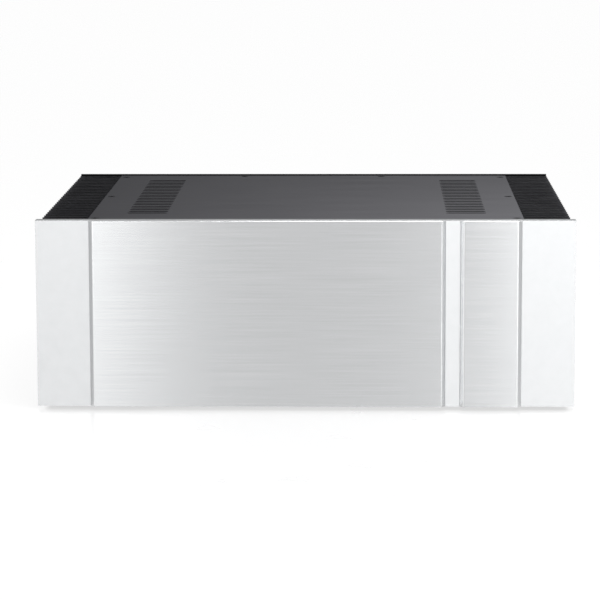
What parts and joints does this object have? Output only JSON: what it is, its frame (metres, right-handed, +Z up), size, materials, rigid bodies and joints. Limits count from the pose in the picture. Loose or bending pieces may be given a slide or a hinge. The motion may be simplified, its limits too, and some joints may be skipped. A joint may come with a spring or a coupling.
{
  "type": "power amplifier",
  "caption": "Wide, low stereo power amplifier with a thick silver front panel, raised brushed plates, dark vented cover and finned heatsinks down both sides.",
  "frame": {"origin": "centre of the whole footprint, rear connectors included, on the surface that the feet stand on", "axes": "-Y is the front panel side, +X is to the right seen from the front, +Z is up"},
  "size_m": [0.43, 0.3696, 0.153],
  "materials": {
    "panel_aluminium": "bead-blasted silver anodise",
    "fascia_aluminium": "silver anodise with a fine horizontal brushed grain",
    "heatsink_aluminium": "dark anodised extrusion",
    "cover_aluminium": "dark grey brushed anodise",
    "chassis_steel": "black powder coat",
    "black_steel": "black oxide",
    "bright_steel": "zinc plated",
    "black_rubber": "matt",
    "winding_tape": "polyester winding tape",
    "board_laminate": "green solder mask",
    "capacitor_sleeve": "printed sleeve without lettering",
    "black_plastic": "moulded",
    "grey_silicone": "heat-conducting sheet",
    "white_ceramic": "cement-filled",
    "plated_brass": "gold flash",
    "nickel": "satin nickel",
    "fuse_glass": "clear tube with plated caps",
    "red_plastic": "moulded",
    "black_gloss_plastic": "moulded",
    "power_lead": "PVC insulation",
    "signal_lead": "PVC insulation"
  },
  "bodies": {
    "chassis": {"front_panel": "panel_aluminium", "main_fascia": "fascia_aluminium", "small_fascia": "fascia_aluminium", "panel_bolts": "black_steel", "fascia_screws": "bright_steel", "left_heatsink": "heatsink_aluminium", "right_heatsink": "heatsink_aluminium", "top_cover": "cover_aluminium", "cover_screws": "black_steel", "cover_blocks": "bright_steel", "bottom_plate": "chassis_steel", "bottom_screws": "black_steel", "rear_panel": "cover_aluminium", "rear_panel_screws": "black_steel", "feet": "black_rubber", "foot_screws": "bright_steel", "transformer_lower_pad": "black_rubber", "transformer": "winding_tape", "transformer_upper_pad": "black_rubber", "transformer_washer": "bright_steel", "transformer_bolt": "bright_steel", "transformer_nut": "bright_steel", "rectifiers": "black_plastic", "supply_board": "board_laminate", "filter_capacitors": "capacitor_sleeve", "left_amp_board": "board_laminate", "right_amp_board": "board_laminate", "output_transistors": "black_plastic", "transistor_insulators": "grey_silicone", "device_screws": "bright_steel", "emitter_resistors": "white_ceramic", "board_pillars": "plated_brass", "board_screws": "bright_steel", "mains_inlet": "black_plastic", "mains_pins": "nickel", "inlet_screws": "black_steel", "switch_frame": "black_plastic", "post_studs": "plated_brass", "red_post_insulators": "red_plastic", "black_post_insulators": "black_gloss_plastic", "post_nuts": "bright_steel", "left_input_socket": "nickel", "right_input_socket": "nickel", "input_inserts": "black_plastic", "input_screws": "black_steel", "power_wiring": "power_lead", "signal_wiring": "signal_lead"},
    "drawer": {"fuse_drawer": "black_plastic", "fuse": "fuse_glass"},
    "rocker": {"power_rocker": "black_plastic"},
    "left_latch": {"left_input_latch": "nickel"},
    "right_latch": {"right_input_latch": "nickel"},
    "left_black_washer": {"left_black_collar": "plated_brass"},
    "left_black_knob": {"left_black_cap": "black_gloss_plastic"},
    "left_red_washer": {"left_red_collar": "plated_brass"},
    "left_red_knob": {"left_red_cap": "red_plastic"},
    "right_black_washer": {"right_black_collar": "plated_brass"},
    "right_black_knob": {"right_black_cap": "black_gloss_plastic"},
    "right_red_washer": {"right_red_collar": "plated_brass"},
    "right_red_knob": {"right_red_cap": "red_plastic"}
  },
  "joints": [
    {"name": "power_rocker_tilt", "type": "hinge", "parent": "chassis", "child": "rocker", "pos_m": [0.046, 0.15925, 0.05], "axis": [1, 0, 0], "range_deg": [0, 24]},
    {"name": "fuse_drawer_slide", "type": "slide", "parent": "chassis", "child": "drawer", "axis": [0, 1, 0], "range_m": [0, 0.018]},
    {"name": "left_latch_press", "type": "slide", "parent": "chassis", "child": "left_latch", "axis": [0, -1, 0], "range_m": [0, 0.002], "stiffness_N_per_m": 300},
    {"name": "right_latch_press", "type": "slide", "parent": "chassis", "child": "right_latch", "axis": [0, -1, 0], "range_m": [0, 0.002], "stiffness_N_per_m": 300},
    {"name": "left_black_washer_slide", "type": "slide", "parent": "chassis", "child": "left_black_washer", "axis": [0, 1, 0], "range_m": [0, 0.0045]},
    {"name": "left_black_cap_turn", "type": "hinge", "parent": "left_black_washer", "child": "left_black_knob", "pos_m": [-0.1415, 0.17575, 0.048], "axis": [0, 1, 0], "range_deg": [0, 1620]},
    {"name": "left_red_washer_slide", "type": "slide", "parent": "chassis", "child": "left_red_washer", "axis": [0, 1, 0], "range_m": [0, 0.0045]},
    {"name": "left_red_cap_turn", "type": "hinge", "parent": "left_red_washer", "child": "left_red_knob", "pos_m": [-0.1225, 0.17575, 0.048], "axis": [0, 1, 0], "range_deg": [0, 1620]},
    {"name": "right_black_washer_slide", "type": "slide", "parent": "chassis", "child": "right_black_washer", "axis": [0, 1, 0], "range_m": [0, 0.0045]},
    {"name": "right_black_cap_turn", "type": "hinge", "parent": "right_black_washer", "child": "right_black_knob", "pos_m": [0.1225, 0.17575, 0.048], "axis": [0, 1, 0], "range_deg": [0, 1620]},
    {"name": "right_red_washer_slide", "type": "slide", "parent": "chassis", "child": "right_red_washer", "axis": [0, 1, 0], "range_m": [0, 0.0045]},
    {"name": "right_red_cap_turn", "type": "hinge", "parent": "right_red_washer", "child": "right_red_knob", "pos_m": [0.1415, 0.17575, 0.048], "axis": [0, 1, 0], "range_deg": [0, 1620]}
  ],
  "couplings": [
    {"joint": "left_black_washer_slide", "follows": "left_black_cap_turn", "m_per_rad": 0.00015915},
    {"joint": "left_red_washer_slide", "follows": "left_red_cap_turn", "m_per_rad": 0.00015915},
    {"joint": "right_black_washer_slide", "follows": "right_black_cap_turn", "m_per_rad": 0.00015915},
    {"joint": "right_red_washer_slide", "follows": "right_red_cap_turn", "m_per_rad": 0.00015915}
  ]
}
